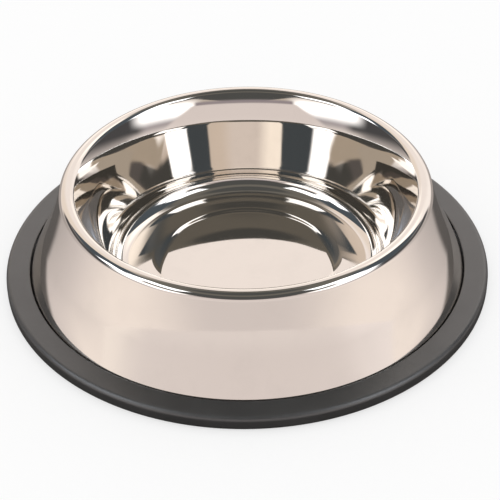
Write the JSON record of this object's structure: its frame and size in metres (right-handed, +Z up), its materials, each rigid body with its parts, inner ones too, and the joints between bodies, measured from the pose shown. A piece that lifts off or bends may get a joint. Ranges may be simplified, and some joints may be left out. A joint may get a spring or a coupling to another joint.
{
  "type": "non-tip pet bowl",
  "caption": "Low round stainless steel pet bowl with a sloping skirt, rolled rim and a rubber ring round its foot that stops it sliding and tipping.",
  "frame": {"origin": "centre of the bowl on the surface it stands on, under the middle of the ring's underside", "axes": "+Z up along the bowl's axis; X and Y lie in the surface, and the bowl is turned, so they may point anywhere in it"},
  "size_m": [0.2321, 0.2322, 0.0508],
  "materials": {
    "polished_steel": "mirror polished stainless steel sheet",
    "black_rubber": "satin moulded rubber"
  },
  "bodies": {
    "root": {"steel_bowl": "polished_steel", "rubber_ring": "black_rubber"}
  },
  "joints": []
}
